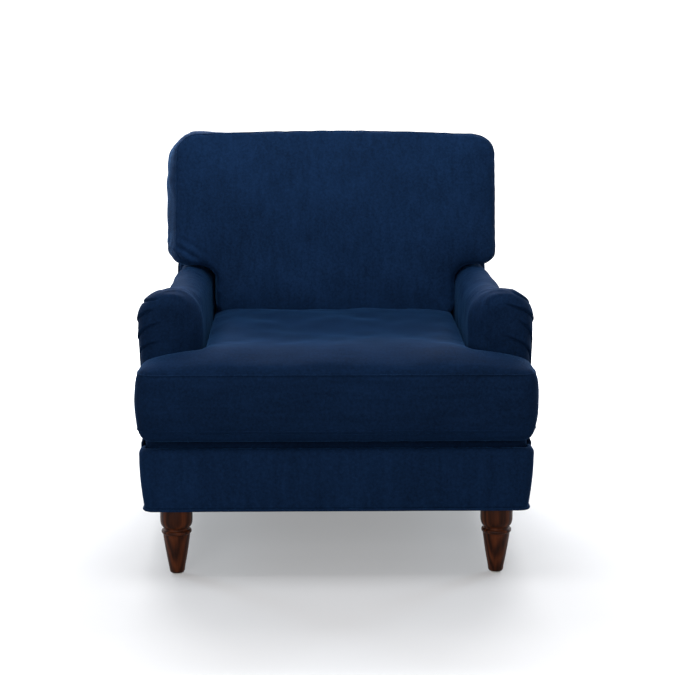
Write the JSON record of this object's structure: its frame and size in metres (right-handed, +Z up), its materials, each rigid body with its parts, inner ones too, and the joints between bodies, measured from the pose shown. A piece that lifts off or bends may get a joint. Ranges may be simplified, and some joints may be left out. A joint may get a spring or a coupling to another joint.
{
  "type": "upholstered roll-arm armchair",
  "caption": "Velvet armchair with low rolled arms, loose T-shaped seat and back cushions, a plain welted base and turned wooden front legs.",
  "frame": {"origin": "on the floor, under the middle of the chair's box", "axes": "+Z up, -Y the way the chair faces, +X to the right seen from the front"},
  "size_m": [0.882, 0.9194, 0.945],
  "materials": {
    "velvet": "matte",
    "hardwood": "matte",
    "walnut": "satin",
    "steel": "satin",
    "foam": "matte",
    "webbing": "matte",
    "cambric": "matte",
    "nylon": "satin",
    "zip_tape": "matte",
    "brass": "satin"
  },
  "bodies": {
    "root": {"arm_cover_left": "velvet", "arm_cover_right": "velvet", "arm_front_post_left": "hardwood", "arm_front_post_right": "hardwood", "arm_pad_left": "foam", "arm_pad_right": "foam", "arm_top_rail_left": "hardwood", "arm_top_rail_right": "hardwood", "back_frame_cover": "velvet", "back_lower_rail": "hardwood", "back_post_left": "hardwood", "back_post_right": "hardwood", "back_top_rail": "hardwood", "back_webbing_left": "webbing", "back_webbing_middle": "webbing", "back_webbing_right": "webbing", "base_welt": "velvet", "deck_cover": "velvet", "deck_pad": "foam", "dust_cover": "cambric", "front_border": "velvet", "front_corner_block_left": "hardwood", "front_corner_block_right": "hardwood", "front_glide_left": "nylon", "front_glide_right": "nylon", "front_leg_bolt_left": "steel", "front_leg_bolt_right": "steel", "front_leg_left": "walnut", "front_leg_right": "walnut", "front_rail": "hardwood", "inside_back_pad": "foam", "outside_arm_panel_left": "velvet", "outside_arm_panel_right": "velvet", "outside_back_panel": "velvet", "rear_corner_block_left": "hardwood", "rear_corner_block_right": "hardwood", "rear_glide_left": "nylon", "rear_glide_right": "nylon", "rear_leg_bolt_left": "steel", "rear_leg_bolt_right": "steel", "rear_leg_left": "walnut", "rear_leg_right": "walnut", "rear_rail": "hardwood", "seat_spring_1": "steel", "seat_spring_2": "steel", "seat_spring_3": "steel", "seat_spring_4": "steel", "seat_spring_5": "steel", "side_rail_left": "hardwood", "side_rail_right": "hardwood", "spring_clip_rail_front": "steel", "spring_clip_rail_rear": "steel"},
    "seat_cushion": {"seat_cushion_cover": "velvet", "seat_cushion_core": "foam", "seat_zip_tape": "zip_tape"},
    "back_cushion": {"back_cushion_cover": "velvet", "back_cushion_core": "foam", "back_zip_tape": "zip_tape"},
    "seat_zip_pull": {"seat_zip_pull": "brass"},
    "back_zip_pull": {"back_zip_pull": "brass"}
  },
  "joints": [
    {"name": "seat_cushion_slide", "type": "slide", "parent": "root", "child": "seat_cushion", "axis": [0, -0.9997, 0.0262], "range_m": [0, 0.7]},
    {"name": "back_cushion_lift", "type": "slide", "parent": "root", "child": "back_cushion", "axis": [0, 0.225, 0.9744], "range_m": [0, 0.48]},
    {"name": "seat_zip", "type": "slide", "parent": "seat_cushion", "child": "seat_zip_pull", "axis": [1, 0, 0], "range_m": [0, 0.4]},
    {"name": "back_zip", "type": "slide", "parent": "back_cushion", "child": "back_zip_pull", "axis": [1, 0, 0], "range_m": [0, 0.4]}
  ]
}
